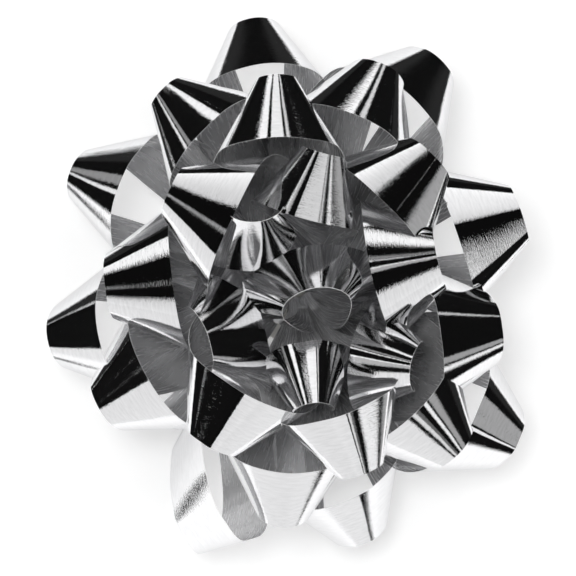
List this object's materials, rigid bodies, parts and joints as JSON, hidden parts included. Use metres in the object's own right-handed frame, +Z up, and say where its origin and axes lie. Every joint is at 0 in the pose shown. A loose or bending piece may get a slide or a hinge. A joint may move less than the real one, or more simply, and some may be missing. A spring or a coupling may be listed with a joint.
{
  "type": "pre-made gift bow",
  "caption": "Star gift bow of metallised silver ribbon loops curled into cones in rising rings over a stapled card disc with an adhesive pad and peel-off liner.",
  "frame": {"origin": "middle of the flat underside of the release liner, under the staple", "axes": "+Z up out of the bow, along its shortest extent; +X along the staple's crown towards the liner's pull tab; +Y completes the set"},
  "size_m": [0.1367, 0.1543, 0.06],
  "materials": {
    "metallised_film": "mirror-bright metallised outer face with fine hairline grain; matt pale grey reverse",
    "staple_wire": "drawn galvanised wire",
    "card": "uncoated grey-white board",
    "adhesive_foam": "white closed-cell foam, tacky underside",
    "liner_paper": "silicone-coated release paper with a slight sheen"
  },
  "bodies": {
    "root": {"outer_loop_1": "metallised_film", "outer_loop_2": "metallised_film", "outer_loop_3": "metallised_film", "outer_loop_4": "metallised_film", "outer_loop_5": "metallised_film", "outer_loop_6": "metallised_film", "outer_loop_7": "metallised_film", "outer_loop_8": "metallised_film", "lower_loop_1": "metallised_film", "lower_loop_2": "metallised_film", "lower_loop_3": "metallised_film", "lower_loop_4": "metallised_film", "lower_loop_5": "metallised_film", "lower_loop_6": "metallised_film", "lower_loop_7": "metallised_film", "upper_loop_1": "metallised_film", "upper_loop_2": "metallised_film", "upper_loop_3": "metallised_film", "upper_loop_4": "metallised_film", "upper_loop_5": "metallised_film", "upper_loop_6": "metallised_film", "upper_loop_7": "metallised_film", "upper_loop_8": "metallised_film", "inner_loop_1": "metallised_film", "inner_loop_2": "metallised_film", "inner_loop_3": "metallised_film", "centre_loop": "metallised_film", "wire_staple": "staple_wire", "card_disc": "card", "foam_pad": "adhesive_foam"},
    "liner": {"release_liner": "liner_paper"}
  },
  "joints": [
    {"name": "liner_peel", "type": "slide", "parent": "root", "child": "liner", "axis": [1, 0, 0], "range_m": [0, 0.045]}
  ]
}
